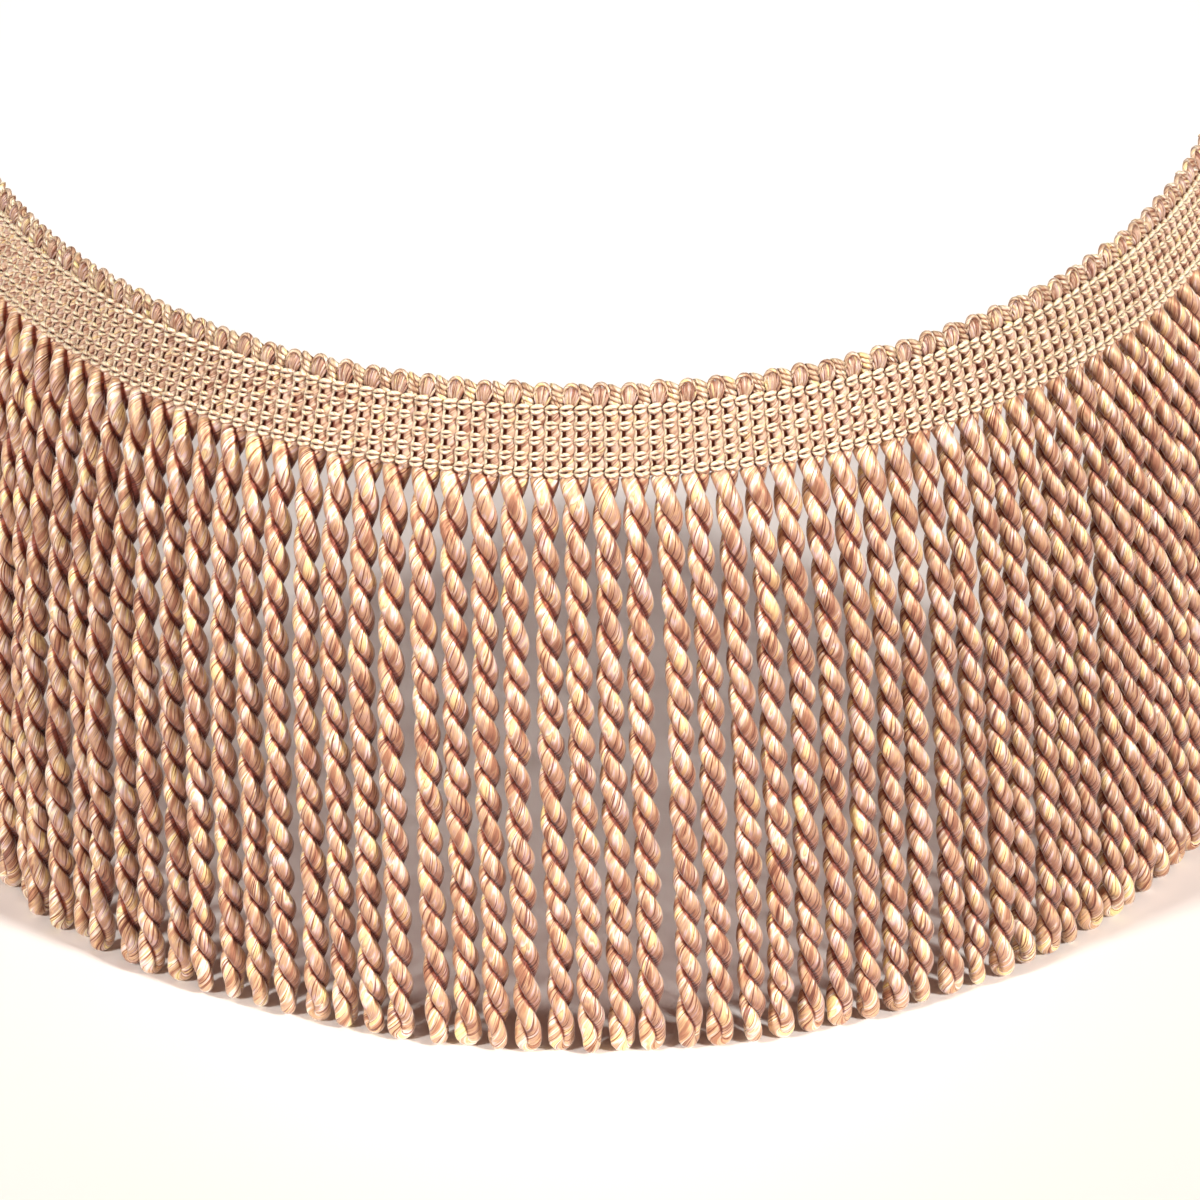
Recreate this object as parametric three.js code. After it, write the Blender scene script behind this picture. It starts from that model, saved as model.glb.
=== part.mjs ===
// Bullion fringe trim that stands on its cord ends in an open curve.
import * as THREE from "three";

// Sizes in millimetres.
const CORD_COUNT = 64;
const LENGTH_CORDS = 8;
const CORD_PITCH = 4.11;
const CORD_WIDTH = 3.78;
const CORD_THICKNESS = 2.1;
const CORD_DROP = 88.7;
const HALF_TURNS = 16;
const RINGS_PER_HALF_TURN = 2;
const END_SCALE = 0.62;

// The curve that the lower edge of the heading follows, seen from above.
const CURVE_RADIUS = 87;
const CURVE_SOFTENING = 2.02e-5;
const CURVE_STEP = 1;

// The heading leans back this far from upright.
const HEADING_LEAN = THREE.MathUtils.degToRad(19.4);
const BACK = -0.9;
const FRONT = 0.9;
const STRIP_TOP = 1.7;
const PIECE_GAP = 0.3;
const ROW_PITCH = 2.14;
const FIRST_ROW = 2.86;
const HEADING_ROWS = 4;
const HEADING_TOP = 9.9;
const ROW_FRONT = 0.95;
const HOLLOW_FRONT = 0.5;
const PAIR_FRONT = 0.68;
const EDGE_FRONT = 0.6;

// Picot loops along the top edge.
const PICOT_TOP = 13.1;
const PICOT_SHIFT = -0.55;
const PICOT_STATIONS = [
  { along: -0.5, rise: 0.3, front: 0.45, back: -0.5 },
  { along: -0.21, rise: 1.0, front: 0.9, back: -0.8 },
  { along: 0.21, rise: 1.0, front: 0.9, back: -0.8 },
];

// How the cords hang: out from the curve, along it, and apart where a gap shows.
const CORD_OUT = 6.6;
const CORD_OUT_FADE = 19;
const CORD_SLANT = 2.2;
const SWAY_OUT = 0.45;
const GAP_REACH = 2.6;
const TWIST_SPREAD = 0.03;
const PARTINGS = [
  { cord: -20, end: 0.1, middle: 0.45 },
  { cord: -17, end: 0.45, middle: 0.1 },
  { cord: -10, end: 0.25, middle: 0.1 },
  { cord: -6, end: 0.5, middle: 0.15 },
  { cord: -2, end: 0.2, middle: 0.15 },
  { cord: 2, end: 0.45, middle: 0.4 },
  { cord: 4, end: 0.2, middle: 0.1 },
  { cord: 11, end: 0.3, middle: 0.1 },
  { cord: 18, end: 0.2, middle: 0.45 },
  { cord: 24, end: 0.3, middle: 0.1 },
];

const YARN_ROSE = 0xc08a6e;
const YARN_CREAM = 0xdcb98f;
const YARN_TOP = 0xc99a80;

/** Direction of the curve at a distance along it from its middle, in radians. */
function heading(along) {
  return (along - (CURVE_SOFTENING * along ** 3) / 3) / CURVE_RADIUS;
}

/** Point of the curve with its directions along and outwards. */
function curveAt(along) {
  const steps = Math.max(2, Math.ceil(Math.abs(along) / CURVE_STEP));
  const step = along / steps;
  const point = new THREE.Vector3();
  for (let i = 0; i < steps; i += 1) {
    const turn = heading((i + 0.5) * step);
    point.x += Math.cos(turn) * step;
    point.y += Math.sin(turn) * step;
  }
  const turn = heading(along);
  return {
    point,
    tangent: new THREE.Vector3(Math.cos(turn), Math.sin(turn), 0),
    outward: new THREE.Vector3(Math.sin(turn), -Math.cos(turn), 0),
  };
}

/** Point on the leaning heading: along the curve, up the slope, and out from its middle layer. */
function onHeading(along, up, out) {
  const { point, outward } = curveAt(along);
  const sideways = out * Math.cos(HEADING_LEAN) - up * Math.sin(HEADING_LEAN);
  const height = CORD_DROP + up * Math.cos(HEADING_LEAN) + out * Math.sin(HEADING_LEAN);
  return point.clone().addScaledVector(outward, sideways).setZ(height);
}

/** A repeatable number from -1 to 1 for a whole number and a purpose. */
function scatter(index, purpose) {
  const value = Math.sin(index * 12.9898 + purpose * 78.233) * 43758.5453;
  return 2 * (value - Math.floor(value)) - 1;
}

/** Collects the corners and triangles of one closed body. */
class Shell {
  constructor() {
    this.positions = [];
    this.indices = [];
  }

  /** Adds a corner and returns its number. */
  add(point) {
    this.positions.push(point.x, point.y, point.z);
    return this.positions.length / 3 - 1;
  }

  /** Adds triangles that fan out from the first corner. */
  fan(...corners) {
    for (let i = 1; i + 1 < corners.length; i += 1) {
      this.indices.push(corners[0], corners[i], corners[i + 1]);
    }
  }

  /** Joins two rings of corners by a band. */
  band(first, second) {
    first.forEach((corner, i) => {
      const next = (i + 1) % first.length;
      this.fan(corner, first[next], second[next], second[i]);
    });
  }

  /** Returns a mesh of the collected faces. */
  mesh(name, colour) {
    const geometry = new THREE.BufferGeometry();
    geometry.setAttribute("position", new THREE.Float32BufferAttribute(this.positions, 3));
    geometry.setIndex(this.indices);
    geometry.computeVertexNormals();
    const material = new THREE.MeshStandardMaterial({ color: colour, roughness: 0.7 });
    const mesh = new THREE.Mesh(geometry, material);
    mesh.name = name;
    return mesh;
  }
}

/** Sweeps a list of rings into a closed body, each ring starting at its lower front corner. */
function sweep(rings) {
  const shell = new Shell();
  const numbered = rings.map((ring) => ring.map((point) => shell.add(point)));
  for (let i = 0; i + 1 < numbered.length; i += 1) {
    shell.band(numbered[i], numbered[i + 1]);
  }
  const [front, back, ...rest] = numbered[0];
  shell.fan(back, front, ...rest.slice().reverse());
  const last = numbered[numbered.length - 1];
  shell.fan(last[1], ...last.slice(2), last[0]);
  return shell;
}

/** The knitted band: its rows are ridges, and each cord's pair of ribs is raised between them. */
function makeHeading() {
  const bottom = STRIP_TOP + PIECE_GAP;
  const rings = [];
  for (let rib = -CORD_COUNT; rib <= CORD_COUNT; rib += 1) {
    const along = (rib * CORD_PITCH) / 2;
    const hollow = rib % 2 === 0 ? HOLLOW_FRONT : PAIR_FRONT;
    const front = [[HEADING_TOP, EDGE_FRONT]];
    for (let row = HEADING_ROWS - 1; row >= 0; row -= 1) {
      const up = FIRST_ROW + row * ROW_PITCH;
      front.push([up, ROW_FRONT]);
      if (row > 0) {
        front.push([up - ROW_PITCH / 2, hollow]);
      }
    }
    const profile = [[bottom, EDGE_FRONT], [bottom, BACK], [HEADING_TOP, BACK], ...front];
    rings.push(profile.map(([up, out]) => onHeading(along, up, out)));
  }
  return sweep(rings).mesh("heading", YARN_CREAM);
}

/** The scalloped edge of upright loops, one to a cord. */
function makePicots() {
  const bottom = HEADING_TOP + PIECE_GAP;
  const rise = PICOT_TOP - bottom;
  const first = PICOT_STATIONS[0];
  const stations = [];
  for (let cord = 0; cord < CORD_COUNT; cord += 1) {
    const middle = (cord - (CORD_COUNT - 1) / 2) * CORD_PITCH;
    for (const station of PICOT_STATIONS) {
      stations.push({ ...station, at: middle + station.along * CORD_PITCH });
    }
  }
  stations.push({ ...first, at: (CORD_COUNT / 2) * CORD_PITCH });
  const rings = stations.map(({ at, rise: share, front, back }) => {
    const end = Math.abs(at) > (CORD_COUNT / 2 - 0.25) * CORD_PITCH;
    const along = at + (end ? 0 : PICOT_SHIFT);
    const top = bottom + rise * share;
    return [
      onHeading(along, bottom, front * 0.8),
      onHeading(along, bottom, back * 0.9),
      onHeading(along, top, back * 0.7),
      onHeading(along, top, front * 0.8),
    ];
  });
  return sweep(rings).mesh("picots", YARN_TOP);
}

/** How far a cord strays along the curve at its end and at its middle. */
function straying(place) {
  let end = 0;
  let middle = 0;
  for (const parting of PARTINGS) {
    const away = place - parting.cord;
    const share = Math.sign(away) * Math.exp(-Math.abs(away) / GAP_REACH);
    end += parting.end * share;
    middle += parting.middle * share;
  }
  return { end, middle };
}

/** Rings of a hanging cord below its root, from the top down to the ground. */
function cordRings(cord) {
  const place = cord - (CORD_COUNT - 1) / 2;
  const { point, tangent, outward } = curveAt(place * CORD_PITCH);
  const stray = straying(place);
  const count = HALF_TURNS * RINGS_PER_HALF_TURN;
  const turn = (Math.PI / RINGS_PER_HALF_TURN) * (1 + TWIST_SPREAD * scatter(cord, 1));
  const sway = SWAY_OUT * scatter(cord, 2);
  const full = 1 - Math.exp(-CORD_DROP / CORD_OUT_FADE);
  const rings = [];
  for (let i = 1; i <= count; i += 1) {
    const share = i / count;
    const drop = share * CORD_DROP;
    const out = (CORD_OUT * (1 - Math.exp(-drop / CORD_OUT_FADE))) / full + sway * share;
    const aside = CORD_SLANT * share + stray.end * share + stray.middle * Math.sin(Math.PI * share);
    const size = i === count ? END_SCALE : 1;
    const angle = -turn * i;
    const corners = [
      [-CORD_WIDTH / 2, -CORD_THICKNESS * 0.36],
      [CORD_WIDTH / 2, -CORD_THICKNESS * 0.36],
      [0, CORD_THICKNESS * 0.64],
    ];
    rings.push(
      corners.map(([a, b]) => {
        const across = aside + size * (a * Math.cos(angle) - b * Math.sin(angle));
        const forward = out + size * (a * Math.sin(angle) + b * Math.cos(angle));
        const corner = point.clone().addScaledVector(tangent, across);
        return corner.addScaledVector(outward, forward).setZ(CORD_DROP - drop);
      }),
    );
  }
  return rings;
}

/** One length of fringe: twisted cords that hang from a narrow strip. */
function makeFringe(number) {
  const shell = new Shell();
  const start = (number - 1) * LENGTH_CORDS;
  const stations = [];
  for (let i = 0; i <= LENGTH_CORDS; i += 1) {
    let along = (start + i - CORD_COUNT / 2) * CORD_PITCH;
    if (i === 0) along += PIECE_GAP / 2;
    if (i === LENGTH_CORDS) along -= PIECE_GAP / 2;
    const corners = [[0, BACK], [0, FRONT], [STRIP_TOP, FRONT], [STRIP_TOP, BACK]];
    stations.push(corners.map(([up, out]) => shell.add(onHeading(along, up, out))));
  }
  shell.fan(...stations[0]);
  shell.fan(...stations[LENGTH_CORDS].slice().reverse());
  for (let i = 0; i < LENGTH_CORDS; i += 1) {
    const [a, d, dTop, aTop] = stations[i];
    const [b, c, cTop, bTop] = stations[i + 1];
    shell.fan(d, c, cTop, dTop);
    shell.fan(b, a, aTop, bTop);
    shell.fan(dTop, cTop, bTop, aTop);
    const along = (start + i + 0.5 - CORD_COUNT / 2) * CORD_PITCH;
    const root = [
      shell.add(onHeading(along - 1.75, 0, -0.62)),
      shell.add(onHeading(along + 1.75, 0, -0.62)),
      shell.add(onHeading(along, 0, 0.74)),
    ];
    shell.fan(a, b, root[1], root[0]);
    shell.fan(b, c, root[1]);
    shell.fan(c, root[2], root[1]);
    shell.fan(c, d, root[2]);
    shell.fan(d, root[0], root[2]);
    shell.fan(d, a, root[0]);
    let upper = root;
    for (const ring of cordRings(start + i)) {
      const lower = ring.map((corner) => shell.add(corner));
      shell.band(upper, lower);
      upper = lower;
    }
    shell.fan(...upper);
  }
  return shell.mesh(`fringe_${number}`, YARN_ROSE);
}

const group = new THREE.Group();
group.name = "bullion_fringe_trim";
group.add(makeHeading(), makePicots());
for (let number = 1; number <= CORD_COUNT / LENGTH_CORDS; number += 1) {
  group.add(makeFringe(number));
}

// The middle of the outline becomes the origin, at the height of the cord ends.
const box = new THREE.Box3().setFromObject(group);
const middle = box.getCenter(new THREE.Vector3());
for (const piece of group.children) {
  piece.geometry.translate(-middle.x, -middle.y, -box.min.z);
}

export default group;
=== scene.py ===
"""Dresses the standing length of bullion fringe trim: knitted heading, picot edge and twisted cords."""

import logging
import math
from dataclasses import dataclass
from enum import Enum, IntEnum

import bpy
import numpy as np
from mathutils import Matrix, Vector


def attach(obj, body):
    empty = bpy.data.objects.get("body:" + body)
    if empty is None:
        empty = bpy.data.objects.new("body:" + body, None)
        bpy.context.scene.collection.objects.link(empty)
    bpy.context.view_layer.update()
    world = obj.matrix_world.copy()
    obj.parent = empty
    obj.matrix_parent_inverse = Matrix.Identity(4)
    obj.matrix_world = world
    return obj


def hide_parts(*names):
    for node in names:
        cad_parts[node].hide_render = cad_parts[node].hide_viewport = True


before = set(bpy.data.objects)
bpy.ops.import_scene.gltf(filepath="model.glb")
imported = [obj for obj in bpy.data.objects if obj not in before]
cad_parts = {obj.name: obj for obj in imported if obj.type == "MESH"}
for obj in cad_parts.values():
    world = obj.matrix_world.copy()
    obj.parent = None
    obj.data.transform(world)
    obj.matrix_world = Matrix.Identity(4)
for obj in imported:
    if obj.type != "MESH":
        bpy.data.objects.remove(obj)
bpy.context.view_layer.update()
LOG = logging.getLogger("fringe")
Array = np.ndarray
Material = bpy.types.Material
Piece = bpy.types.Object
Socket = bpy.types.NodeSocket
MM = 0.001

# How the trim is worked, in millimetres.
CORD_COUNT = 64
LENGTH_CORDS = 8
CORD_PITCH = 4.11
CORD_DROP = 88.7
ROW_PITCH = 2.14
LOWEST_ROW = 0.72
ROW_COUNT = 5
HEADING_LEAN = math.radians(19.4)

# Uneven numbers that scatter whole ones.
INDEX_STEP = 12.9898
PURPOSE_STEP = 78.233
SCATTER_SPREAD = 43758.5453

DOWNWARDS = np.array([0.0, 0.0, -1.0])


class Draw(IntEnum):
    """What a scattered number is for. Purposes of different pieces may share a value."""

    TWIST = 1
    SWAY = 2
    WOBBLE = 3
    THICKNESS = 4
    SLOW_LOOSENESS = 5
    QUICK_LOOSENESS = 6
    PLY_SWELL = 7
    RIB_WAVE = 5
    RIB_OUT = 6
    STITCH_SIZE = 7
    STITCH_HEIGHT = 8
    LOOP_HEIGHT = 9
    STITCH_STRAY = 10
    FAN_LEAN = 11
    FILL_ALONG = 12
    FILL_HEIGHT = 13


def scatter(index: int, purpose: Draw) -> float:
    """Gives a repeatable number from -1 to 1 for a whole number and a purpose.

    Args:
        index: The number of the cord, stitch or loop.
        purpose: Which of its measures the number is for.

    Returns:
        The same number each time.
    """
    value = math.sin(index * INDEX_STEP + purpose * PURPOSE_STEP) * SCATTER_SPREAD
    return 2 * (value - math.floor(value)) - 1


@dataclass
class TrimCurve:
    """The curve that the lower edge of the heading follows, seen from above, in millimetres."""

    radius: float = 87.0
    softening: float = 2.02e-5
    middle: tuple = (-0.5738, -35.9534)
    step: float = 0.5
    reach: float = 140.0

    def __post_init__(self) -> None:
        """Works out the curve once, from end to end."""
        self.marks = np.arange(-self.reach, self.reach + self.step / 2, self.step)
        halfway = self.turn((self.marks[1:] + self.marks[:-1]) / 2)
        x = np.concatenate([[0.0], np.cumsum(np.cos(halfway) * self.step)])
        y = np.concatenate([[0.0], np.cumsum(np.sin(halfway) * self.step)])
        self.x = x - np.interp(0, self.marks, x) + self.middle[0]
        self.y = y - np.interp(0, self.marks, y) + self.middle[1]

    def turn(self, along: Array) -> Array:
        """Returns the direction of the curve in radians at distances along it."""
        return (along - self.softening * along**3 / 3) / self.radius

    def at(self, along: Array) -> tuple[Array, Array, Array]:
        """Finds points of the curve.

        Args:
            along: Distances along the curve from its middle.

        Returns:
            The points, and the directions along the curve and outwards.
        """
        along = np.atleast_1d(np.asarray(along, float))
        turn, zero = self.turn(along), np.zeros_like(along)
        x, y = (np.interp(along, self.marks, places) for places in (self.x, self.y))
        tangent = np.stack([np.cos(turn), np.sin(turn), zero], -1)
        outward = np.stack([np.sin(turn), -np.cos(turn), zero], -1)
        return np.stack([x, y, zero], -1), tangent, outward

    def on_heading(self, along: Array, up: Array, out: Array) -> Array:
        """Finds points on the leaning heading.

        Args:
            along: Distances along the curve.
            up: Distances up the slope from the lower edge.
            out: Distances outwards from the middle layer.

        Returns:
            The points in the row frame, in millimetres.
        """
        along, up, out = (np.atleast_1d(np.asarray(a, float)) for a in (along, up, out))
        along, up, out = np.broadcast_arrays(along, up, out)
        points, _, outward = self.at(along)
        lean_cos, lean_sin = math.cos(HEADING_LEAN), math.sin(HEADING_LEAN)
        points = points + outward * (out * lean_cos - up * lean_sin)[:, None]
        points[:, 2] = CORD_DROP + up * lean_cos + out * lean_sin
        return points

    def lay(self, along: Array, up: Array, out: Array) -> tuple[Array, Array]:
        """Lays a yarn on the leaning heading.

        Args:
            along: Distances along the curve.
            up: Distances up the slope from the lower edge.
            out: Distances outwards from the middle layer.

        Returns:
            The yarn's path and the direction that faces outwards.
        """
        path = self.on_heading(along, up, out)
        return path, self.on_heading(along, up, np.asarray(out) + 1.0) - path


class YarnMesh:
    """Collects tubes and strips into one mesh with two maps; the second map places painted shade and a
    painted highlight.

    A tube draws in to a share of its size at its ends, and its end caps lie halfway round the map.
    """

    END_SCALE = 0.35
    CAP_AROUND = 0.5

    def __init__(self) -> None:
        """Starts with nothing."""
        self.points: list[Array] = []
        self.faces: list[Array] = []
        self.uvs: list[Array] = []
        self.shade_facings: list[Array] = []
        self.count = 0

    def ring_grid(self, points: Array, uvs: Array, shade_facings: Array) -> None:
        """Adds rings of points as a tube of quads.

        Args:
            points: Corners as rings by corners by 3.
            uvs: Where each corner lies along and around, with the first corner of a ring repeated.
            shade_facings: How far out of the crease each corner faces and how far up, in the same order,
                which sets where painted shade and a painted highlight go.
        """
        rings, corners = points.shape[:2]
        number = np.arange(rings * corners).reshape(rings, corners) + self.count
        number = np.concatenate([number, number[:, :1]], 1)
        for values, into in ((number, self.faces), (uvs, self.uvs), (shade_facings, self.shade_facings)):
            quads = np.stack([values[:-1, :-1], values[:-1, 1:], values[1:, 1:], values[1:, :-1]], 2)
            into.append(quads.reshape(-1, 4) if values is number else quads.reshape(-1, 2))
        self.points.append(points.reshape(-1, 3))
        self.count += rings * corners

    def flat_face(self, corners: list[int], along: float = 0.0) -> None:
        """Adds one face of four corners with the same place on both maps.

        Args:
            corners: The numbers of its corners in turn.
            along: Where it lies along the yarn, in millimetres.
        """
        self.faces.append(np.array([corners]))
        self.uvs.append(np.array([(along, self.CAP_AROUND)] * 4))
        self.shade_facings.append(np.array([(1.0, 0.0)] * 4))

    def tube(
        self,
        path: Array,
        side: Array,
        width: float | Array,
        depth: float | Array,
        sides: int,
        offset: float = 0.0,
        shade_lift: float | Array = 0.0,
        two_faced: bool = False,
    ) -> None:
        """Adds a tube of yarn.

        Args:
            path: Points down the middle of the yarn.
            side: A direction at each point that becomes the depth of the section.
            width: Half the section's size across that direction.
            depth: Half its size along that direction.
            sides: How many corners the section has, an even number.
            offset: Where the pattern starts along the yarn, in millimetres.
            shade_lift: How much less painted shade it gets in its creases and on what faces down, and how
                much more painted highlight on top.
            two_faced: Whether its back is as free of painted crease shade as its front.
        """
        assert sides % 2 == 0, "the end caps need an even count"
        tangent = np.gradient(path, axis=0)
        tangent /= np.linalg.norm(tangent, axis=1, keepdims=True)
        side = side - tangent * (side * tangent).sum(1, keepdims=True)
        side /= np.linalg.norm(side, axis=1, keepdims=True)
        across = np.cross(tangent, side)
        angle = -math.pi + 2 * math.pi * np.arange(sides) / sides
        drawn = np.ones(len(path))
        drawn[[0, -1]] = self.END_SCALE
        rings = (
            path[:, None]
            + side[:, None] * ((drawn * depth)[:, None] * np.cos(angle))[..., None]
            + across[:, None] * ((drawn * width)[:, None] * np.sin(angle))[..., None]
        )
        far = np.concatenate([[0.0], np.cumsum(np.linalg.norm(np.diff(path, axis=0), axis=1))])
        u = np.broadcast_to((far + offset)[:, None], (len(path), sides + 1))
        v = np.broadcast_to(np.arange(sides + 1) / sides, (len(path), sides + 1))
        turns = np.append(angle, math.pi)
        shade_lift = np.broadcast_to(shade_lift, len(path))[:, None]
        # How far each corner faces out of the crease and up, which places painted shade in the crease and
        # on what faces down and a painted highlight on top; the lift eases the shade and adds highlight.
        out = np.abs(np.cos(turns)) if two_faced else np.cos(turns)
        out, up = out + shade_lift, across[:, 2:] * np.sin(turns) + shade_lift / 2
        start = self.count
        self.ring_grid(rings, np.stack([u, v], -1), np.stack([out, up], -1))
        last = self.count - sides
        for ring, along in ((np.arange(sides)[::-1] + start, u[0, 0]), (np.arange(sides) + last, u[-1, 0])):
            for i in range(sides // 2 - 1):
                self.flat_face([ring[i], ring[i + 1], ring[sides - 2 - i], ring[sides - 1 - i]], along)

    def piece(self, name: str, material: Material) -> Piece:
        """Makes the object.

        Args:
            name: The piece's name.
            material: Its finish.

        Returns:
            The new piece, at the origin, riding on the root body.
        """
        points = np.concatenate(self.points) * MM
        faces = np.concatenate(self.faces)
        mesh = bpy.data.meshes.new(name)
        mesh.vertices.add(len(points))
        mesh.vertices.foreach_set("co", points.astype(np.float32).ravel())
        mesh.loops.add(faces.size)
        mesh.loops.foreach_set("vertex_index", faces.astype(np.int32).ravel())
        mesh.polygons.add(len(faces))
        mesh.polygons.foreach_set("loop_start", np.arange(0, faces.size, 4, dtype=np.int32))
        mesh.polygons.foreach_set("use_smooth", np.ones(len(faces), bool))
        for map_name, values in (("yarn", self.uvs), ("shade_facing", self.shade_facings)):
            layer = mesh.uv_layers.new(name=map_name)
            layer.data.foreach_set("uv", np.concatenate(values).astype(np.float32).ravel())
        mesh.update()
        mesh.validate()
        mesh.materials.append(material)
        piece = bpy.data.objects.new(name, mesh)
        bpy.context.scene.collection.objects.link(piece)
        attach(piece, "root")
        return piece


class NodeBoard:
    """A short way to lay out the nodes of a material."""

    def __init__(self, name: str) -> None:
        """Makes the material with a plain principled shader."""
        self.material = bpy.data.materials.new(name)
        self.material.use_nodes = True
        self.tree = self.material.node_tree
        self.shader = self.tree.nodes["Principled BSDF"]

    def node(self, kind: str, settings: dict | None = None, **links: object) -> bpy.types.Node:
        """Adds a node.

        Args:
            kind: The node's type, without its prefix.
            settings: Values for its properties.
            links: Values or sockets for its inputs, by name with underscores, or in0, in1 by place.

        Returns:
            The node.
        """
        made = self.tree.nodes.new("ShaderNode" + kind)
        for key, value in (settings or {}).items():
            setattr(made, key, value)
        for key, value in links.items():
            place = key.removeprefix("in")
            socket = made.inputs[int(place) if place.isdigit() else key.replace("_", " ")]
            if isinstance(value, Socket):
                self.tree.links.new(value, socket)
            else:
                socket.default_value = value
        return made

    def math(self, operation: str, first: object, second: object = 0.0) -> Socket:
        """Adds a sum and returns its result."""
        return self.node("Math", {"operation": operation}, in0=first, in1=second).outputs[0]

    def map_axes(self, name: str) -> tuple[Socket, Socket]:
        """Reads one of the piece's own maps and returns its two axes."""
        split = self.node("SeparateXYZ", None, in0=self.node("UVMap", {"uv_map": name}).outputs[0])
        return split.outputs[0], split.outputs[1]

    def streaks(self, across: Socket, along: Socket, grain: tuple[float, float], detail: float) -> Socket:
        """Adds long, narrow noise.

        Args:
            across: The place across the streaks.
            along: The place along them.
            grain: How often the noise changes across and along.
            detail: How much finer noise is mixed in.

        Returns:
            The noise.
        """
        x, y = self.math("MULTIPLY", across, grain[0]), self.math("MULTIPLY", along, grain[1])
        place = self.node("CombineXYZ", None, X=x, Y=y).outputs[0]
        settings = {"noise_dimensions": "2D"}
        return self.node("TexNoise", settings, Vector=place, Scale=1.0, Detail=detail).outputs[0]

    def fade(self, value: Socket, start: float, end: float) -> Socket:
        """Returns a soft step from 0 to 1 as a value goes from start to end."""
        settings = {"interpolation_type": "SMOOTHSTEP"}
        return self.node("MapRange", settings, Value=value, From_Min=start, From_Max=end).outputs[0]

    def times(self, colour: Socket, by: object, factor: object) -> Socket:
        """Multiplies a colour by another, by as much as a factor says, and returns the result."""
        settings = {"data_type": "RGBA", "blend_type": "MULTIPLY"}
        return self.node("Mix", settings, in0=factor, in6=colour, in7=by).outputs[2]

    def ramp(self, factor: Socket, stops: tuple) -> Socket:
        """Adds a colour ramp.

        Args:
            factor: What drives it.
            stops: Pairs of place and colour.

        Returns:
            The colour.
        """
        made = self.node("ValToRGB", None, Fac=factor)
        ramp = made.color_ramp
        while len(ramp.elements) < len(stops):
            ramp.elements.new(0.5)
        for element, (place, colour) in zip(ramp.elements, stops):
            element.position = place
            element.color = (*colour, 1.0)
        return made.outputs["Color"]


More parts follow.
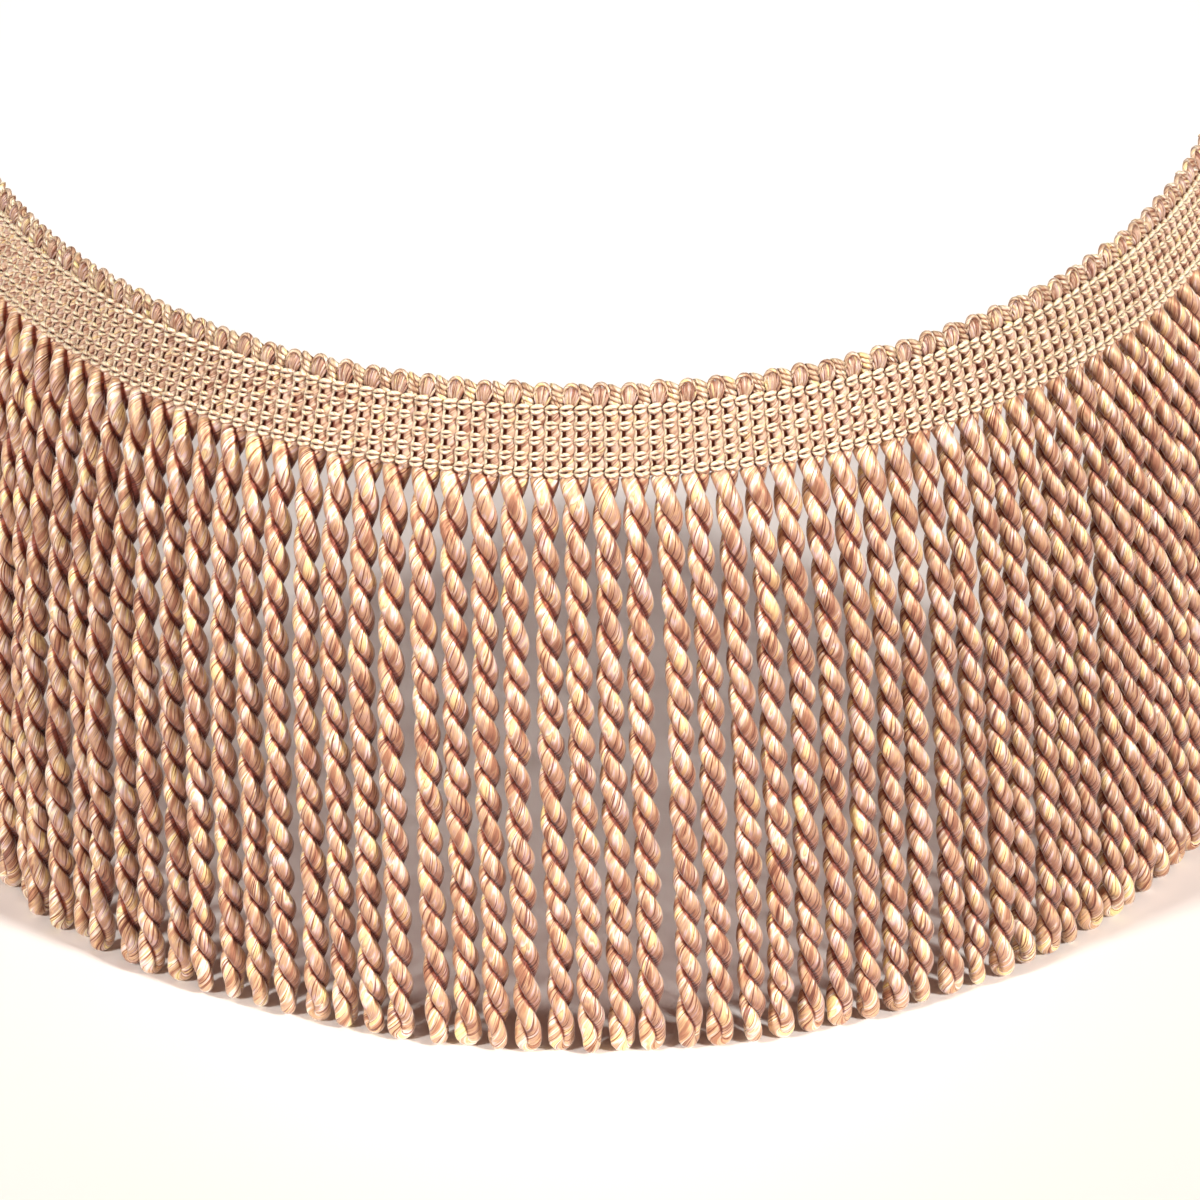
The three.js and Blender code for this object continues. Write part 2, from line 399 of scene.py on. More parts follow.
@dataclass(frozen=True)
class YarnFinish:
    """Yarn of mixed bright filaments that twist around it, dyed in patches, with painted shade in its
    creases and on what faces down and a painted highlight on what faces up.
    """

    name: str
    strands: int = 9
    strand_turn: float = -4.8
    roughness: float = 0.5
    metallic: float = 0.3
    specular: float = 0.6
    sheen: float = 0.8
    sheen_roughness: float = 0.35
    strand_depth: float = 0.35
    filament_depth: float = 0.35
    bump_strength: float = 0.8
    bump_height: float = 0.12
    dark: float = 0.84
    light: float = 1.22
    filament_grain: tuple = (5.5, 0.3)
    filament_at: tuple = (0.3, 0.7)
    line: tuple = (0.36, 0.19, 0.16)
    line_at: tuple = (0.62, 0.67)
    line_grain: tuple = (1.9, 0.1)
    line_shift: float = 61.0
    # Painted shade in the creases, painted shade on what faces down and a painted highlight on what faces
    # up, each with where it fades in.
    edge: tuple = (0.31, 0.08, 0.045)
    crease_shade_at: tuple = (0.15, -0.2)
    under_shade: tuple = (0.52, 0.29, 0.22)
    under_shade_at: tuple = (0.1, -0.5)
    over: tuple = (1.3, 1.42, 1.32)
    top_highlight_at: tuple = (0.05, 0.55)
    patch_grain: tuple = (0.45, 0.2)
    patch_detail: float = 1.5
    dye_places: tuple = (0.33, 0.40, 0.45, 0.51, 0.56, 0.61, 0.645, 0.69)
    rust: tuple = (0.34, 0.145, 0.085)
    tan: tuple = (0.56, 0.345, 0.20)
    mauve: tuple = (0.46, 0.265, 0.20)
    lilac: tuple = (0.63, 0.46, 0.48)
    pale: tuple = (0.84, 0.72, 0.53)
    gold: tuple = (0.80, 0.60, 0.30)

    def material(self) -> Material:
        """Makes the finish.

        Returns:
            A material that reads the piece's own maps: one in millimetres along and turns around,
            and one that says how far each place faces out of the crease and up, where it paints shade and a
            highlight.
        """
        board = NodeBoard(self.name)
        along, around = board.map_axes("yarn")
        twist = board.math("MULTIPLY", along, self.strands / self.strand_turn)
        strand = board.math("ADD", board.math("MULTIPLY", around, float(self.strands)), twist)
        filaments = board.streaks(strand, along, self.filament_grain, detail=1.0)
        colour = self.painted_shading(board, self.dyed(board, strand, along), filaments)
        board.tree.links.new(colour, board.shader.inputs["Base Color"])
        board.tree.links.new(self.relief(board, strand, filaments), board.shader.inputs["Normal"])
        board.shader.inputs["Roughness"].default_value = self.roughness
        board.shader.inputs["Metallic"].default_value = self.metallic
        board.shader.inputs["Specular IOR Level"].default_value = self.specular
        board.shader.inputs["Sheen Weight"].default_value = self.sheen
        board.shader.inputs["Sheen Roughness"].default_value = self.sheen_roughness
        return board.material

    def dyed(self, board: NodeBoard, strand: Socket, along: Socket) -> Socket:
        """Lays the patches of dye and the rare dark lines.

        Args:
            board: Where the nodes go.
            strand: The place across the filaments.
            along: The place along the yarn.

        Returns:
            The colour.
        """
        dyes = (self.rust, self.tan, self.mauve, self.tan, self.lilac, self.pale, self.tan, self.gold)
        patches = board.streaks(strand, along, self.patch_grain, self.patch_detail)
        colour = board.ramp(patches, tuple(zip(self.dye_places, dyes)))
        rare = board.streaks(board.math("ADD", strand, self.line_shift), along, self.line_grain, detail=1.0)
        start, end = self.line_at
        lines = board.node("MapRange", None, Value=rare, From_Min=start, From_Max=end)
        return board.times(colour, (*self.line, 1.0), lines.outputs[0])

    def painted_shading(self, board: NodeBoard, colour: Socket, filaments: Socket) -> Socket:
        """Paints shade in the creases and on what faces down, paints a highlight on what faces up, and
        lightens some filaments.

        Args:
            board: Where the nodes go.
            colour: The dyed yarn.
            filaments: The noise of the filaments.

        Returns:
            The colour.
        """
        out, up = board.map_axes("shade_facing")
        # Painted crease shade, painted shade on what faces down and a painted highlight on what faces up.
        painted_shades = (
            (out, self.crease_shade_at, self.edge),
            (up, self.under_shade_at, self.under_shade),
            (up, self.top_highlight_at, self.over),
        )
        for value, (start, end), tint in painted_shades:
            colour = board.times(colour, (*tint, 1.0), board.fade(value, start, end))
        low, high = self.filament_at
        span = {"From_Min": low, "From_Max": high, "To_Min": self.dark, "To_Max": self.light}
        return board.times(colour, board.node("MapRange", None, Value=filaments, **span).outputs[0], 1.0)

    def relief(self, board: NodeBoard, strand: Socket, filaments: Socket) -> Socket:
        """Raises the strands and their filaments a little.

        Args:
            board: Where the nodes go.
            strand: The place across the filaments.
            filaments: The noise of the filaments.

        Returns:
            The bumped normal.
        """
        ridge = board.math("ABSOLUTE", board.math("SINE", board.math("MULTIPLY", strand, math.pi)))
        strands = board.math("MULTIPLY", ridge, self.strand_depth)
        height = board.math("ADD", strands, board.math("MULTIPLY", filaments, self.filament_depth))
        size = {"Strength": self.bump_strength, "Distance": self.bump_height * MM}
        return board.node("Bump", None, Height=height, **size).outputs[0]


@dataclass(frozen=True)
class PlainFinish:
    """A quiet matt finish with a little mottling."""

    name: str
    colour: tuple
    roughness: float = 0.8
    mottle: float = 0.06
    scale: float = 900.0
    spread: tuple = (0.35, 0.65)

    def material(self) -> Material:
        """Makes the finish.

        Returns:
            A material on Object coordinates.
        """
        board = NodeBoard(self.name)
        place = board.node("TexCoord").outputs["Object"]
        noise = board.node("TexNoise", None, Vector=place, Scale=self.scale, Detail=3.0)
        low = tuple(c * (1 - self.mottle) for c in self.colour)
        high = tuple(min(1.0, c * (1 + self.mottle)) for c in self.colour)
        colour = board.ramp(noise.outputs[0], tuple(zip(self.spread, (low, high))))
        board.tree.links.new(colour, board.shader.inputs["Base Color"])
        board.shader.inputs["Roughness"].default_value = self.roughness
        return board.material


CORD_YARN = YarnFinish("cord_yarn_finish")
WEFT_YARN = YarnFinish(
    "weft_yarn_finish",
    strand_turn=-3.0,
    metallic=0.1,
    # Painted shade on the ribs' flanks.
    edge=(0.42, 0.21, 0.16),
    crease_shade_at=(0.85, -0.1),
    tan=(0.70, 0.49, 0.33),
    mauve=(0.56, 0.36, 0.26),
    lilac=(0.62, 0.43, 0.40),
)
CHAIN_YARN = YarnFinish(
    "chain_yarn_finish",
    light=1.16,
    strands=4,
    strand_turn=-1.4,
    metallic=0.1,
    line=(0.7, 0.5, 0.4),
    # Painted shade in the stitches' creases.
    edge=(0.5, 0.28, 0.2),
    crease_shade_at=(0.2, -0.4),
    rust=(0.56, 0.40, 0.27),
    tan=(0.83, 0.72, 0.53),
    mauve=(0.76, 0.62, 0.46),
    lilac=(0.78, 0.68, 0.56),
    pale=(0.90, 0.85, 0.67),
    gold=(0.86, 0.76, 0.50),
)
FAN_YARN = YarnFinish(
    "picot_fan_finish",
    light=1.08,
    strands=3,
    strand_turn=-20.0,
    # Painted shade in the fans' creases.
    edge=(0.4, 0.2, 0.15),
    crease_shade_at=(0.4, -0.4),
    tan=(0.58, 0.39, 0.26),
    gold=(0.80, 0.64, 0.34),
)
RIM_YARN = YarnFinish(
    "picot_rim_finish",
    light=1.0,
    strands=5,
    strand_turn=-2.6,
    # Painted shade in the rims' creases.
    edge=(0.5, 0.3, 0.24),
    crease_shade_at=(0.2, -0.4),
    rust=(0.42, 0.24, 0.15),
    tan=(0.66, 0.50, 0.33),
    mauve=(0.56, 0.38, 0.27),
    lilac=(0.70, 0.55, 0.48),
    pale=(0.88, 0.80, 0.62),
    gold=(0.84, 0.69, 0.35),
)
# The thin layer behind the ribs is coloured dark red-brown as painted shade for the slots between them.
GROUND_SHADE_CLOTH = PlainFinish("ground_shade_finish", (0.34, 0.11, 0.07))
PALE_FLOOR = PlainFinish("pale_floor", (0.95, 0.94, 0.93), mottle=0.0)


@dataclass(frozen=True)
class Parting:
    """A place where the cords stand apart, by so many millimetres at their ends and middles."""

    cord: float
    end: float
    middle: float


PARTINGS = (
    Parting(-20, 0.1, 0.45),
    Parting(-17, 0.45, 0.1),
    Parting(-10, 0.25, 0.1),
    Parting(-6, 0.5, 0.15),
    Parting(-2, 0.2, 0.15),
    Parting(2, 0.45, 0.4),
    Parting(4, 0.2, 0.1),
    Parting(11, 0.3, 0.1),
    Parting(18, 0.2, 0.45),
    Parting(24, 0.3, 0.1),
)


@dataclass(frozen=True)
class BullionCord:
    """One cord: two plies that twist round each other and join in a loop at the end.

    Its lengths are in millimetres.
    """

    number: int
    curve: TrimCurve
    ply_offset: float = 0.8
    ply_depth: float = 1.13
    ply_width: float = 1.12
    ply_swell: float = 0.05
    swell_step: float = 0.21
    thickness_spread: float = 0.04
    half_turn: float = 5.5
    slack: float = 0.153
    slack_fade: float = 6.0
    out: float = 6.6
    out_fade: float = 19.0
    slant: float = 2.2
    gap_reach: float = 2.6
    twist_spread: float = 0.03
    sway_out: float = 0.45
    wobble: float = 0.12
    wobble_wave: float = 7.3
    wobble_rise: float = 6.0
    start: float = -0.3
    root_reach: float = 3.5
    root_scale: float = 1.2
    tuft_scale: float = 1.05
    # How much less painted shade the root gets, and how much less painted shade and more painted highlight
    # the tip gets.
    root_shade_lift: float = 0.45
    tip_shade_lift: float = 0.7
    tip_reach: float = 3.0
    splay: float = 2.0
    root_in: float = 0.55
    loosening: float = 1.6
    loose_from: float = 12.0
    loose_over: float = 6.0
    slow_turn: float = 0.22
    slow_wave: float = 4.9
    quick_turn: float = 0.12
    quick_wave: float = 2.1
    turn_rise: float = 12.0
    phase_spread: float = 9.0
    loop_height: float = 2.05
    loop_points: int = 8
    easing: float = 3.0
    sides: int = 14
    turn_steps: int = 8
    pattern_shift: float = 37.0

    @property
    def place(self) -> float:
        """Returns the cord's place from the middle of the trim, in cords."""
        return self.number - (CORD_COUNT - 1) / 2

    @property
    def leftness(self) -> float:
        """Returns how far the cord belongs to the left wing, from 0 to 1."""
        return min(1.0, max(0.0, (-self.place - self.loose_from) / self.loose_over))

    @property
    def looseness(self) -> float:
        """Returns how much less evenly the cord hangs than those near the middle."""
        return 1 + self.loosening * self.leftness

    @property
    def low(self) -> float:
        """Returns how far below the heading the loop at the cord's end begins."""
        return CORD_DROP - self.loop_height

    def phase(self, purpose: Draw) -> float:
        """Returns where a wave of this cord starts, in radians."""
        return self.phase_spread * scatter(self.number, purpose)

    def stray(self) -> tuple[float, float]:
        """Works out how far the partings push the cord along the curve.

        Returns:
            The distances at its end and at its middle.
        """
        end = middle = 0.0
        for parting in PARTINGS:
            away = self.place - parting.cord
            share = math.copysign(math.exp(-abs(away) / self.gap_reach), away)
            end += parting.end * share
            middle += parting.middle * share
        return end, middle

    def middle_line(self, drop: Array) -> tuple[Array, Array, Array]:
        """Finds the middle of the cord.

        Args:
            drop: Distances below the heading.

        Returns:
            The points, and the directions along the curve and outwards.
        """
        point, tangent, outward = self.curve.at(self.place * CORD_PITCH)
        share = np.clip(drop / CORD_DROP, 0, 1)
        below = np.maximum(drop, 0)
        full = 1 - math.exp(-CORD_DROP / self.out_fade)
        out = self.out * (1 - np.exp(-below / self.out_fade)) / full
        out = out - self.root_in * np.exp(-below / self.root_reach)
        sway = self.sway_out * self.looseness * scatter(self.number, Draw.SWAY)
        out = out + (sway + self.splay * self.leftness) * share
        end, middle = self.stray()
        aside = self.slant * share + end * share + middle * np.sin(math.pi * share)
        wave = np.sin(drop / self.wobble_wave + self.phase(Draw.WOBBLE))
        wobble = self.wobble * self.looseness * wave * np.minimum(1, share * self.wobble_rise)
        points = point + tangent * (aside + wobble)[:, None] + outward * out[:, None]
        points[:, 2] = CORD_DROP - drop
        return points, np.repeat(tangent, len(drop), 0), np.repeat(outward, len(drop), 0)

    def turned(self, drop: Array) -> Array:
        """Works out the twist, which eases off before the loop.

        Args:
            drop: Distances below the heading.

        Returns:
            The angle of the first ply at each, in radians.
        """
        late = np.clip((drop - (self.low - self.easing)) / self.easing, 0, 1)
        eased = np.minimum(drop, self.low - self.easing) + self.easing * (late - late**2 / 2)
        eased = np.maximum(eased, 0)
        turns = eased / self.half_turn - self.slack * (1 - np.exp(-eased / self.slack_fade))
        slow = np.sin(eased / self.slow_wave + self.phase(Draw.SLOW_LOOSENESS))
        quick = np.sin(eased / self.quick_wave + self.phase(Draw.QUICK_LOOSENESS))
        loose = self.slow_turn * slow + self.quick_turn * quick
        loose = loose * self.looseness * np.minimum(1, eased / self.turn_rise)
        spread = 1 + self.twist_spread * scatter(self.number, Draw.TWIST)
        return math.pi - math.pi * turns * spread + loose

    def spin(self, mesh: YarnMesh) -> None:
        """Adds the cord's yarn to a mesh.

        Args:
            mesh: What collects it.
        """
        steps = int((self.low - self.start) / self.half_turn * self.turn_steps)
        drop = np.linspace(self.start, self.low, steps)
        middle, tangent, outward = self.middle_line(drop)
        angle = self.turned(drop)[:, None]
        ray = tangent * np.cos(angle) + outward * np.sin(angle)
        bend = np.linspace(0, math.pi, self.loop_points)[1:-1, None]
        loop_ray = ray[-1] * np.cos(bend) + DOWNWARDS * np.sin(bend)
        side = np.concatenate([ray, loop_ray, -ray[::-1]])
        line = np.concatenate([middle, np.repeat(middle[-1:], len(bend), 0), middle[::-1]])
        path = line + side * self.ply_offset
        fade = np.exp(-np.maximum(drop, 0) / self.root_reach)
        root, tuft = (1 - (1 - scale) * fade for scale in (self.root_scale, self.tuft_scale))
        full = np.concatenate([root, np.ones(len(bend)), tuft[::-1]])
        swell = np.sin(np.arange(len(full)) * self.swell_step + self.phase(Draw.PLY_SWELL))
        full = full * (1 + self.ply_swell * swell)
        # The tip is lightened with a painted highlight, and both ends get less painted shade.
        tip = self.tip_shade_lift * np.exp((drop - self.low) / self.tip_reach)
        ends = np.maximum(self.root_shade_lift * fade, tip)
        shade_lift = np.concatenate([ends, np.full(len(bend), self.tip_shade_lift), ends[::-1]])
        grow = 1 + self.thickness_spread * scatter(self.number, Draw.THICKNESS)
        width, depth = self.ply_width * grow * full, self.ply_depth * full
        mesh.tube(path, side, width, depth, self.sides, self.pattern_shift * self.number, shade_lift)


@dataclass(frozen=True)
class FringeLength:
    """Eight cords side by side."""

    number: int
    curve: TrimCurve
    material: Material

    def build(self) -> Piece:
        """Makes the piece.

        Returns:
            The cords as one piece.
        """
        mesh = YarnMesh()
        first = (self.number - 1) * LENGTH_CORDS
        for cord in range(first, first + LENGTH_CORDS):
            BullionCord(cord, self.curve).spin(mesh)
        piece = mesh.piece(f"cords_{self.number}", self.material)
        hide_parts(f"fringe_{self.number}")
        return piece


class Arm(Enum):
    """Which of its two arms a chain stitch lays down."""

    UPPER = 1
    LOWER = -1


@dataclass(frozen=True)
class WeftRibs:
    """The upright ribs of the heading, which swell between its rows, in millimetres."""

    curve: TrimCurve
    width: float = 0.66
    width_swell: float = 0.14
    depth: float = 1.1
    depth_swell: float = 0.5
    foot: float = -0.35
    top: float = 10.3
    aside: float = 0.4
    out: float = 0.12
    out_spread: float = 0.05
    wave: float = 0.06
    wave_turn: float = 2.9
    phase_spread: float = 5.0
    steps: int = 26
    sides: int = 10
    pattern_shift: float = 23.0

    def add(self, mesh: YarnMesh, column: int, middle: float) -> None:
        """Adds one rib.

        Args:
            mesh: What collects it.
            column: Its number.
            middle: Where its column's middle lies along the curve.
        """
        up = np.linspace(self.foot, self.top, self.steps)
        swell = 0.5 - 0.5 * np.cos(2 * math.pi * (up - LOWEST_ROW) / ROW_PITCH)
        width = self.width * (1 - self.width_swell + self.width_swell * swell)
        depth = self.depth * (1 - self.depth_swell + self.depth_swell * swell)
        phase = self.phase_spread * scatter(column, Draw.RIB_WAVE)
        along = middle + self.aside + self.wave * np.sin(up * self.wave_turn + phase)
        out = self.out + self.out_spread * scatter(column, Draw.RIB_OUT)
        path, front = self.curve.lay(along, up, out)
        mesh.tube(path, front, width, depth, self.sides, self.pattern_shift * column, two_faced=True)


@dataclass(frozen=True)
class ChainStitches:
    """The rows of chain stitches and the threads that join them, in millimetres.

    The points of an arm lie in shares of its stitch's size.
    """

    curve: TrimCurve
    shift: float = 0.05
    size: float = 0.95
    border_size: float = 1.12
    size_spread: float = 0.05
    height_spread: float = 0.05
    out: float = 0.68
    bulge: float = 0.28
    tuck: float = 0.2
    stray: float = 0.12
    arm_share: tuple = (0.0, 0.16, 0.40, 0.66, 0.87, 1.0)
    arm_along: tuple = (-0.14, 0.16, 0.58, 1.02, 1.36, 1.60)
    arm_upper: tuple = (0.06, 0.27, 0.40, 0.42, 0.40, 0.34)
    arm_lower: tuple = (-0.10, -0.32, -0.40, -0.32, -0.18, -0.04)
    arm_taper: tuple = (0.70, 0.95, 1.15, 1.15, 0.85, 0.30)
    arm_width: float = 0.26
    arm_depth: float = 1.35
    arm_sides: int = 8
    arm_shift: float = 11.0
    thread_sways: tuple = (-0.02, 0.05, -0.04, 0.04, -0.04, 0.04, -0.04, 0.05, 0.0)
    thread_out: float = 0.46
    thread_width: float = 0.24
    thread_depth: float = 0.22
    thread_over: float = 0.2
    thread_sides: int = 6
    thread_shift: float = 7.0

    def add_column(self, mesh: YarnMesh, column: int, start: float) -> None:
        """Adds the stitches of one column and their thread.

        Args:
            mesh: What collects them.
            column: Its number.
            start: Where its left edge lies along the curve.
        """
        start = start + self.shift
        for row in range(ROW_COUNT):
            for arm in Arm:
                self.add_arm(mesh, column, row, arm, start)
        top = LOWEST_ROW + (ROW_COUNT - 1) * ROW_PITCH
        up = np.linspace(LOWEST_ROW - self.thread_over, top + self.thread_over, len(self.thread_sways))
        path, front = self.curve.lay(start + np.array(self.thread_sways), up, self.thread_out)
        offset = self.thread_shift * column
        mesh.tube(path, front, self.thread_width, self.thread_depth, self.thread_sides, offset)

    def add_arm(self, mesh: YarnMesh, column: int, row: int, arm: Arm, start: float) -> None:
        """Adds one arm of a stitch.

        Args:
            mesh: What collects it.
            column: The stitch's column.
            row: Its row.
            arm: Which arm it is.
            start: Where the stitch's left knot lies along the curve.
        """
        number = column * ROW_COUNT + row
        size = self.border_size if row in (0, ROW_COUNT - 1) else self.size
        size *= 1 + self.size_spread * scatter(number, Draw.STITCH_SIZE)
        height = LOWEST_ROW + row * ROW_PITCH + self.height_spread * scatter(number, Draw.STITCH_HEIGHT)
        strand = number * len(Arm) + arm.value
        stray = self.stray * scatter(strand, Draw.STITCH_STRAY)
        share = np.array(self.arm_share)
        bend = np.array(self.arm_upper if arm is Arm.UPPER else self.arm_lower)
        along = start + size * np.array(self.arm_along)
        up = height + size * bend + stray * share**2
        out = self.out + self.bulge * np.sin(math.pi * share) - self.tuck * share**3
        path, front = self.curve.lay(along, up, out)
        width = self.arm_width * size * np.array(self.arm_taper)
        mesh.tube(path, front, width, width * self.arm_depth, self.arm_sides, self.arm_shift * strand)


@dataclass(frozen=True)
class HeadingTape:
    """The knitted heading: weft ribs, chain stitches over them and a thin layer behind, dark as painted
    shade in the slots.
    """

    curve: TrimCurve
    weft: Material
    chain: Material
    ground: Material
    height: float = 11.2
    layer_back: float = -0.15
    layer_front: float = 0.1

    @property
    def column_pitch(self) -> float:
        """Returns the distance from one rib to the next."""
        return CORD_PITCH / 2

    def column_starts(self) -> list[tuple[int, float]]:
        """Returns the number of each column and where its left edge lies along the curve."""
        return [(column, (column - CORD_COUNT) * self.column_pitch) for column in range(2 * CORD_COUNT)]

    def dress(self, mesh: YarnMesh, name: str, material: Material) -> Piece:
        """Makes one of the heading's pieces.

        Args:
            mesh: What it is made of.
            name: Its name.
            material: Its finish.

        Returns:
            The piece.
        """
        piece = mesh.piece(name, material)
        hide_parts("heading")
        return piece

    def ribs(self) -> Piece:
        """Makes the weft ribs.

        Returns:
            The ribs as one piece.
        """
        mesh, weft = YarnMesh(), WeftRibs(self.curve)
        for column, start in self.column_starts():
            weft.add(mesh, column, start + self.column_pitch / 2)
        return self.dress(mesh, "weft_ribs", self.weft)

    def chains(self) -> Piece:
        """Makes the chain stitches and the threads that join their rows.

        Returns:
            The stitches and threads as one piece.
        """
        mesh, stitches = YarnMesh(), ChainStitches(self.curve)
        for column, start in self.column_starts():
            stitches.add_column(mesh, column, start)
        return self.dress(mesh, "chain_stitches", self.chain)

    def base(self) -> Piece:
        """Makes the thin layer behind the ribs, whose dark finish paints the shade in the slots between
        them.

        Returns:
            The piece, a closed strip of six corners round, with two quads over each end.
        """
        half = CORD_COUNT * CORD_PITCH / 2
        along = np.linspace(-half, half, 2 * CORD_COUNT + 1)
        heights = (0.0, 0.0, self.height / 2, self.height, self.height, self.height / 2)
        back, front = self.layer_back, self.layer_front
        section = tuple(zip(heights, (back, front, front, front, back, back)))
        mesh = YarnMesh()
        rings = np.stack([self.curve.on_heading(along, up, out) for up, out in section], 1)
        maps = np.ones((len(along), len(section) + 1, 2))
        mesh.ring_grid(rings[:, ::-1], maps, maps)
        first = np.arange(len(section))
        for ring, flip in ((first, -1), (first + len(section) * (len(along) - 1), 1)):
            for quad in ([0, 1, 4, 5], [1, 2, 3, 4]):
                mesh.flat_face(list(ring[quad][::flip]))
        return self.dress(mesh, "heading_ground", self.ground)

    def build(self) -> list[Piece]:
        """Returns:
            The layer, the ribs and the stitches.
        """
        base, ribs, chains = self.base(), self.ribs(), self.chains()
        return [base, ribs, chains]


@dataclass(frozen=True)
class LoopFan:
    """The yarns that spread from a loop's foot to its top, in millimetres."""

    curve: TrimCurve
    yarns: int = 9
    foot_reach: float = 0.5
    top_reach: float = 1.12
    foot_shift: float = -0.2
    top_shift: float = 0.26
    flare: float = 0.8
    droop: float = 0.4
    droop_power: float = 2.5
    lean_spread: float = 0.06
    out: float = 0.05
    belly: float = 0.75
    side_flatness: float = 0.35
    turnover: float = 0.9
    foot_width: float = 0.19
    widening: float = 0.08
    depth: float = 1.3
    steps: int = 7
    sides: int = 6
    cord_shift: float = 19.0
    yarn_shift: float = 3.1

    def add(self, mesh: YarnMesh, cord: int, middle: float, foot: float, height: float) -> None:
        """Adds the yarns of one loop.

        Args:
            mesh: What collects them.
            cord: The number of the cord below.
            middle: Where the loop lies along the curve.
            foot: Where its foot lies up the heading.
            height: How high it stands.
        """
        share = np.linspace(0, 1, self.steps)
        for yarn in range(self.yarns):
            lean = 2 * yarn / (self.yarns - 1) - 1
            lean += self.lean_spread * scatter(cord * self.yarns + yarn, Draw.FAN_LEAN)
            spread = self.top_shift + (self.top_reach - self.foot_reach) * lean
            along = middle + self.foot_shift + self.foot_reach * lean + spread * share**self.flare
            up = foot + height * share * (1 - self.droop * abs(lean) ** self.droop_power)
            belly = self.belly - self.side_flatness * lean**2
            out = self.out + belly * np.sin(math.pi * share * self.turnover)
            path, front = self.curve.lay(along, up, out)
            width = self.foot_width + self.widening * share
            offset = self.cord_shift * cord + self.yarn_shift * yarn
            mesh.tube(path, front, width, width * self.depth, self.sides, offset, two_faced=True)


@dataclass(frozen=True)
class LoopRim:
    """The strand that runs round a loop's edge, in millimetres."""

    curve: TrimCurve
    reach: float = 1.22
    shift: float = 0.06
    lift: float = 0.1
    roundness: float = 0.62
    first_bend: float = 0.06
    last_bend: float = 0.97
    out: float = 0.12
    top_out: float = 0.22
    centre_height: float = 1.0
    centre_out: float = 0.15
    width: float = 0.363
    depth: float = 0.33
    steps: int = 16
    sides: int = 8
    cord_shift: float = 29.0

    def add(self, mesh: YarnMesh, cord: int, middle: float, foot: float, height: float) -> None:
        """Adds the strand of one loop.

        Args:
            mesh: What collects it.
            cord: The number of the cord below.
            middle: Where the loop lies along the curve.
            foot: Where its foot lies up the heading.
            height: How high it stands.
        """
        bend = np.linspace(self.first_bend * math.pi, self.last_bend * math.pi, self.steps)
        along = middle + self.shift - self.reach * np.cos(bend)
        up = foot + self.lift + (height - self.lift) * np.sin(bend) ** self.roundness
        path = self.curve.on_heading(along, up, self.out + self.top_out * np.sin(bend))
        centre = self.curve.on_heading(middle, foot + self.centre_height, self.centre_out)
        mesh.tube(path, path - centre, self.width, self.depth, self.sides, self.cord_shift * cord)


@dataclass(frozen=True)
class TwistedFill:
    """The short twisted yarn that fills the place between two loops, in millimetres."""

    curve: TrimCurve
    turns: int = 4
    pitch: float = 0.74
    reach: float = 0.95
    lift: float = 0.35
    slant: float = 0.5
    spread: float = 0.08
    back: float = -0.35
    belly: float = 0.75
    width: float = 0.46
    narrowing: float = 0.3
    depth: float = 1.2
    steps: int = 7
    sides: int = 8
    turn_shift: float = 31.0

    def add(self, mesh: YarnMesh, cord: int, middle: float, foot: float) -> None:
        """Adds the yarn beside one loop.

        Args:
            mesh: What collects it.
            cord: The number of the cord below.
            middle: Where the yarn lies along the curve.
            foot: Where the loop's foot lies up the heading.
        """
        share = np.linspace(-1, 1, self.steps)
        width = self.width * (1 - self.narrowing * share**2)
        out = self.back + self.belly * np.cos(share * math.pi / 2)
        for turn in range(self.turns):
            number = cord * self.turns + turn
            along = middle + self.reach * share + self.spread * scatter(number, Draw.FILL_ALONG)
            up = foot + self.lift + turn * self.pitch - self.slant * share
            up = up + self.spread * scatter(number, Draw.FILL_HEIGHT)
            path, front = self.curve.lay(along, up, out)
            mesh.tube(path, front, width, width * self.depth, self.sides, self.turn_shift * number)


@dataclass(frozen=True)
class PicotEdge:
    """The edge of upright loops, with short twisted yarn between them, in millimetres."""

    curve: TrimCurve
    fan: Material
    rim: Material
    shift: float = -0.55
    foot: float = 9.6
    rise: float = 3.2
    rise_spread: float = 0.06
    fan_below: float = 0.25

    def build(self) -> list[Piece]:
        """Makes the pieces.

        Returns:
            The fans, and the rims with the twisted yarn between them.
        """
        fans, rims = YarnMesh(), YarnMesh()
        fan, rim, fill = LoopFan(self.curve), LoopRim(self.curve), TwistedFill(self.curve)
        for cord in range(CORD_COUNT):
            middle = (cord - (CORD_COUNT - 1) / 2) * CORD_PITCH + self.shift
            height = self.rise * (1 + self.rise_spread * scatter(cord, Draw.LOOP_HEIGHT))
            fan.add(fans, cord, middle, self.foot, height - self.fan_below)
            rim.add(rims, cord, middle, self.foot, height)
            fill.add(rims, cord, middle - CORD_PITCH / 2, self.foot)
        pieces = [fans.piece("picot_fans", self.fan), rims.piece("picot_rims", self.rim)]
        for piece in pieces:
            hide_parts("picots")
        return pieces


class Side(Enum):
    """Which side of the camera a lamp stands on."""

    LEFT = -1
    RIGHT = 1


@dataclass(frozen=True)
class SideLamps:
    """A pair of soft, distant lamps, one on each side of the camera, with angles in degrees."""

    name: str = "key"
    aside: float = 54.0
    height: float = 26.0
    softness: float = 8.0
    strength: float = 3.64
    colour: tuple = (1.0, 0.955, 0.9)
    balance: float = 0.15

    def place(self) -> None:
        """Adds both lamps."""
        for side in Side:
            data = bpy.data.lights.new(f"{self.name}_{side.name.lower()}", "SUN")
            data.angle, data.color = math.radians(self.softness), self.colour
            data.energy = self.strength * (1 + self.balance * side.value)
            lamp = bpy.data.objects.new(data.name, data)
            across, up = math.radians(self.aside) * side.value, math.radians(self.height)
            level = math.cos(up)
            lamp.location = Vector((math.sin(across) * level, -math.cos(across) * level, math.sin(up)))
            lamp.rotation_euler = lamp.location.to_track_quat("Z", "Y").to_euler()
            bpy.context.scene.collection.objects.link(lamp)


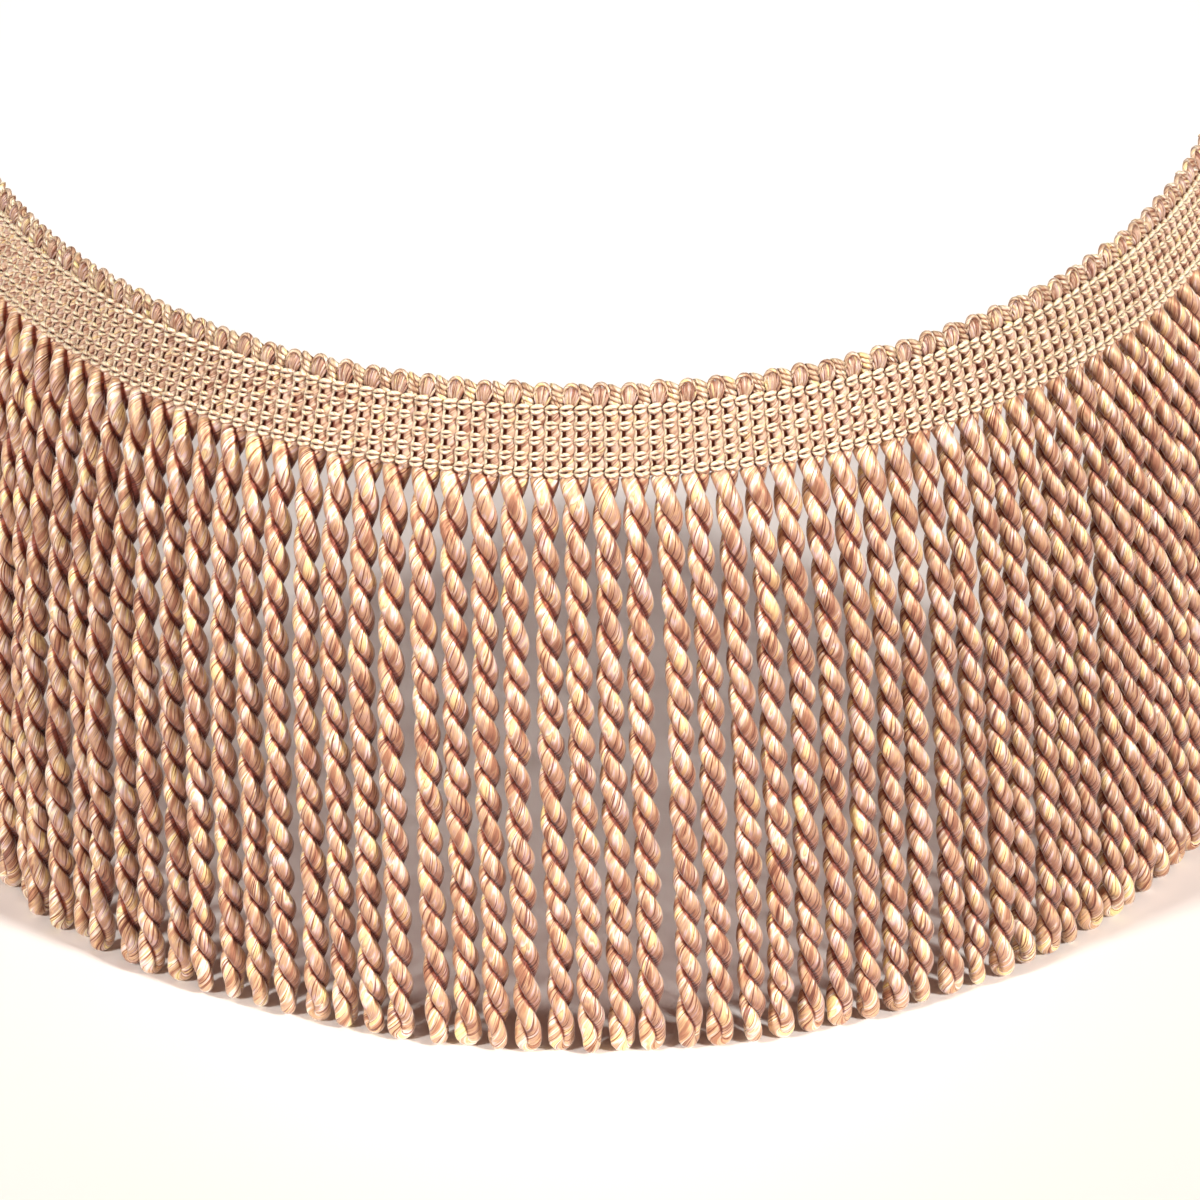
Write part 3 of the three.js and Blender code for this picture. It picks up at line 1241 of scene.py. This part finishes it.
@dataclass(frozen=True)
class Overhead:
    """A lamp that looks straight down on a round part of the floor, in metres and watts."""

    name: str
    above: tuple
    reach: float
    power: float
    blend: float = 1.0
    colour: tuple = (1.0, 0.82, 0.76)
    height: float = 1.5
    bulb: float = 0.05

    def place(self) -> None:
        """Adds the lamp."""
        data = bpy.data.lights.new(self.name, "SPOT")
        data.energy, data.color = self.power, self.colour
        data.shadow_soft_size, data.spot_blend = self.bulb, self.blend
        data.spot_size = 2 * math.atan(self.reach / self.height)
        lamp = bpy.data.objects.new(self.name, data)
        lamp.location = (*self.above, self.height)
        bpy.context.scene.collection.objects.link(lamp)


@dataclass(frozen=True)
class Studio:
    """Camera, pale floor and soft lamps."""

    curve: TrimCurve
    image: int = 1200
    focal_pixels: float = 10000.0
    millimetres_a_pixel: float = 0.13567
    elevation: float = math.radians(30.585)
    roll: float = math.radians(-0.296)
    front_at: tuple = (590.24, 477.15)
    sensor: float = 36.0
    clip: tuple = (0.05, 20.0)
    floor_size: float = 6.0
    side_lamps: SideLamps = SideLamps()
    overheads: tuple = (
        Overhead("overhead_left", (-0.066, -0.010), 0.055, 14.0),
        Overhead("overhead_front", (0.0, -0.042), 0.042, 40.0),
        Overhead("overhead_right", (0.066, -0.010), 0.055, 10.0),
        Overhead("overhead_back", (0.0, 0.245), 0.125, 20.0, blend=0.25, colour=(1.0, 1.0, 1.0)),
    )
    surround: tuple = (1.0, 0.45, 0.34)
    surround_strength: float = 0.12

    def camera(self) -> None:
        """Places the camera so that the front of the heading falls where the photo has it."""
        low, high = math.cos(self.elevation), math.sin(self.elevation)
        forward, right, up = Vector((0, low, -high)), Vector((1, 0, 0)), Vector((0, high, low))
        roll_cos, roll_sin = math.cos(self.roll), math.sin(self.roll)
        across = right * roll_cos + up * roll_sin
        down = right * roll_sin - up * roll_cos
        point, _, _ = self.curve.at(0.0)
        front = Vector(point[0]) + Vector((0, 0, CORD_DROP))
        size = self.millimetres_a_pixel
        aside = (self.front_at[0] - self.image / 2) * size
        below = (self.front_at[1] - self.image / 2) * size
        place = front - forward * self.focal_pixels * size - across * aside - down * below
        data = bpy.data.cameras.new("camera")
        data.sensor_width = self.sensor
        data.lens = data.sensor_width * self.focal_pixels / self.image
        data.clip_start, data.clip_end = self.clip
        camera = bpy.data.objects.new("camera", data)
        turn = Matrix((across, -down, -forward)).transposed().to_4x4()
        camera.matrix_world = Matrix.Translation(place * MM) @ turn
        bpy.context.scene.collection.objects.link(camera)
        bpy.context.scene.camera = camera

    def floor(self) -> None:
        """Lays the floor."""
        bpy.ops.object.select_all(action="DESELECT")
        bpy.ops.mesh.primitive_plane_add(size=self.floor_size, location=(0, 0, 0))
        floor = bpy.context.object
        floor.name = "floor"
        floor.data.materials.append(PALE_FLOOR.material())

    def lights(self) -> None:
        """Adds the lamps and a dim, warm surround."""
        self.side_lamps.place()
        for overhead in self.overheads:
            overhead.place()
        world = bpy.data.worlds.new("surround")
        world.use_nodes = True
        backdrop = world.node_tree.nodes["Background"]
        backdrop.inputs[0].default_value = (*self.surround, 1.0)
        backdrop.inputs[1].default_value = self.surround_strength
        bpy.context.scene.world = world
        bpy.context.scene.view_settings.view_transform = "Standard"


def main() -> None:
    """Builds the camera, the trim and the studio."""
    logging.basicConfig(level=logging.INFO, format="%(message)s")
    curve = TrimCurve()
    studio = Studio(curve)
    studio.camera()
    cord_yarn, weft, fan, rim, chain, ground = (
        finish.material() for finish in (CORD_YARN, WEFT_YARN, FAN_YARN, RIM_YARN, CHAIN_YARN, GROUND_SHADE_CLOTH)
    )
    lengths = range(1, CORD_COUNT // LENGTH_CORDS + 1)
    pieces = [FringeLength(number, curve, cord_yarn).build() for number in lengths]
    pieces += HeadingTape(curve, weft, chain, ground).build()
    pieces += PicotEdge(curve, fan, rim).build()
    for piece in pieces:
        LOG.info("%s: %d faces", piece.name, len(piece.data.polygons))
    studio.floor()
    studio.lights()


if __name__ == "__main__":
    main()
